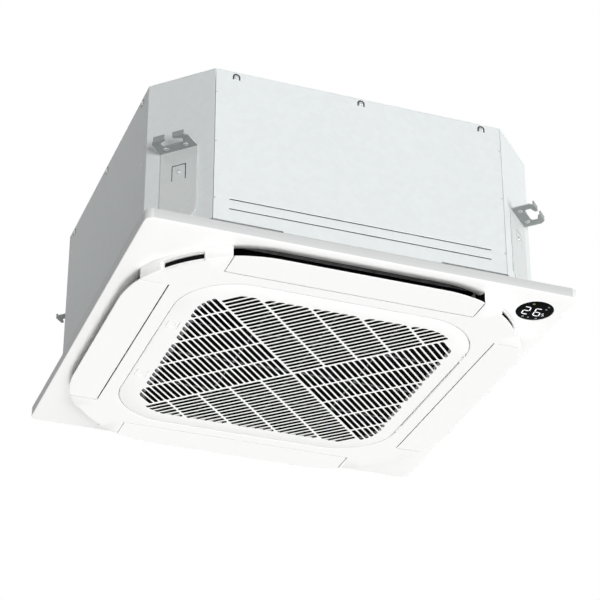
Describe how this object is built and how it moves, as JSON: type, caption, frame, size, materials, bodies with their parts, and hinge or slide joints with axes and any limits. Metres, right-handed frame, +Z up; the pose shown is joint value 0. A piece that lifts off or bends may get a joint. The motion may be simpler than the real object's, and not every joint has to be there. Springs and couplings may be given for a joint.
{
  "type": "ceiling_cassette_air_conditioner",
  "caption": "Ceiling cassette air conditioner: square white panel with a hinged slotted grille and swing flaps, on a steel chassis with hanger brackets",
  "frame": {"origin": "centre of the lowest face, which is the flush face of the grille and the flaps", "axes": "+Z up, towards the ceiling; +X towards the side with the grille hinge and the pipes; +Y away from the side that has the display at its right end"},
  "size_m": [0.62, 0.62, 0.2912],
  "materials": {
    "white_plastic": "smooth moulded plastic, low sheen",
    "sheet_steel": "galvanised sheet, satin",
    "lens_black": "glossy black lens",
    "seal_foam": "soft closed-cell foam",
    "white_foam": "moulded bead foam",
    "grey_plastic": "moulded plastic",
    "motor_steel": "painted steel can",
    "soft_rubber": "soft rubber",
    "copper_tube": "drawn copper tube",
    "brass_nut": "machined",
    "fin_aluminium": "thin fins with a clear coating",
    "circuit_board": "lacquered board",
    "filter_net": "fine woven net"
  },
  "bodies": {
    "chassis": {"bellmouth": "grey_plastic", "coil_end_plate_far": "sheet_steel", "coil_end_plate_right": "sheet_steel", "control_board": "circuit_board", "control_box": "sheet_steel", "control_box_cover": "sheet_steel", "corner_panel_far_left": "sheet_steel", "corner_panel_far_right": "sheet_steel", "corner_panel_near_left": "sheet_steel", "corner_panel_near_right": "sheet_steel", "display_housing": "grey_plastic", "display_lens": "lens_black", "drain_pan": "white_foam", "drain_pipe": "white_plastic", "drain_pump": "grey_plastic", "evaporator_coil": "fin_aluminium", "fan_motor": "motor_steel", "flap_motor_far": "grey_plastic", "flap_motor_left": "grey_plastic", "flap_motor_near": "grey_plastic", "flap_motor_right": "grey_plastic", "float_switch": "white_plastic", "foam_liner": "white_foam", "frame_seal": "seal_foam", "gas_flare_nut": "brass_nut", "gas_pipe": "copper_tube", "hanger_bracket_far_left": "sheet_steel", "hanger_bracket_far_right": "sheet_steel", "hanger_bracket_near_left": "sheet_steel", "hanger_bracket_near_right": "sheet_steel", "liquid_flare_nut": "brass_nut", "liquid_pipe": "copper_tube", "motor_mount_1": "soft_rubber", "motor_mount_2": "soft_rubber", "motor_mount_3": "soft_rubber", "panel_bolt_far_left": "sheet_steel", "panel_bolt_far_right": "sheet_steel", "panel_bolt_near_left": "sheet_steel", "panel_bolt_near_right": "sheet_steel", "panel_frame": "white_plastic", "pipe_cover_plate": "sheet_steel", "side_panel_far": "sheet_steel", "side_panel_left": "sheet_steel", "side_panel_near": "sheet_steel", "side_panel_right": "sheet_steel", "terminal_block": "lens_black", "top_panel": "sheet_steel"},
    "grille": {"return_grille": "white_plastic", "filter_frame": "grey_plastic", "filter_mesh": "filter_net"},
    "catch_1": {"grille_catch_1": "white_plastic"},
    "catch_2": {"grille_catch_2": "white_plastic"},
    "fan": {"fan_wheel": "grey_plastic", "fan_nut": "brass_nut", "motor_shaft": "motor_steel"},
    "float": {"float": "white_plastic"},
    "flap_right": {"flap_right": "white_plastic"},
    "flap_far": {"flap_far": "white_plastic"},
    "flap_left": {"flap_left": "white_plastic"},
    "flap_near": {"flap_near": "white_plastic"}
  },
  "joints": [
    {"name": "flap_right_swing", "type": "hinge", "parent": "chassis", "child": "flap_right", "pos_m": [0.2432, 0, 0.0046], "axis": [0, 1, 0], "range_deg": [0, 50]},
    {"name": "flap_far_swing", "type": "hinge", "parent": "chassis", "child": "flap_far", "pos_m": [0, 0.2432, 0.0046], "axis": [-1, 0, 0], "range_deg": [0, 50]},
    {"name": "flap_left_swing", "type": "hinge", "parent": "chassis", "child": "flap_left", "pos_m": [-0.2432, 0, 0.0046], "axis": [0, -1, 0], "range_deg": [0, 50]},
    {"name": "flap_near_swing", "type": "hinge", "parent": "chassis", "child": "flap_near", "pos_m": [0, -0.2432, 0.0046], "axis": [1, 0, 0], "range_deg": [0, 50]},
    {"name": "grille_hinge", "type": "hinge", "parent": "chassis", "child": "grille", "pos_m": [0.2172, 0, 0.0014], "axis": [0, -1, 0], "range_deg": [0, 85]},
    {"name": "catch_1_press", "type": "slide", "parent": "grille", "child": "catch_1", "axis": [0, 0, 1], "range_m": [0, 0.003], "stiffness_N_per_m": 300, "springref_m": -0.001},
    {"name": "catch_2_press", "type": "slide", "parent": "grille", "child": "catch_2", "axis": [0, 0, 1], "range_m": [0, 0.003], "stiffness_N_per_m": 300, "springref_m": -0.001},
    {"name": "fan_spin", "type": "hinge", "parent": "chassis", "child": "fan", "pos_m": [0, 0, 0.2], "axis": [0, 0, 1], "continuous": true},
    {"name": "float_rise", "type": "slide", "parent": "chassis", "child": "float", "axis": [0, 0, 1], "range_m": [0, 0.008]}
  ]
}
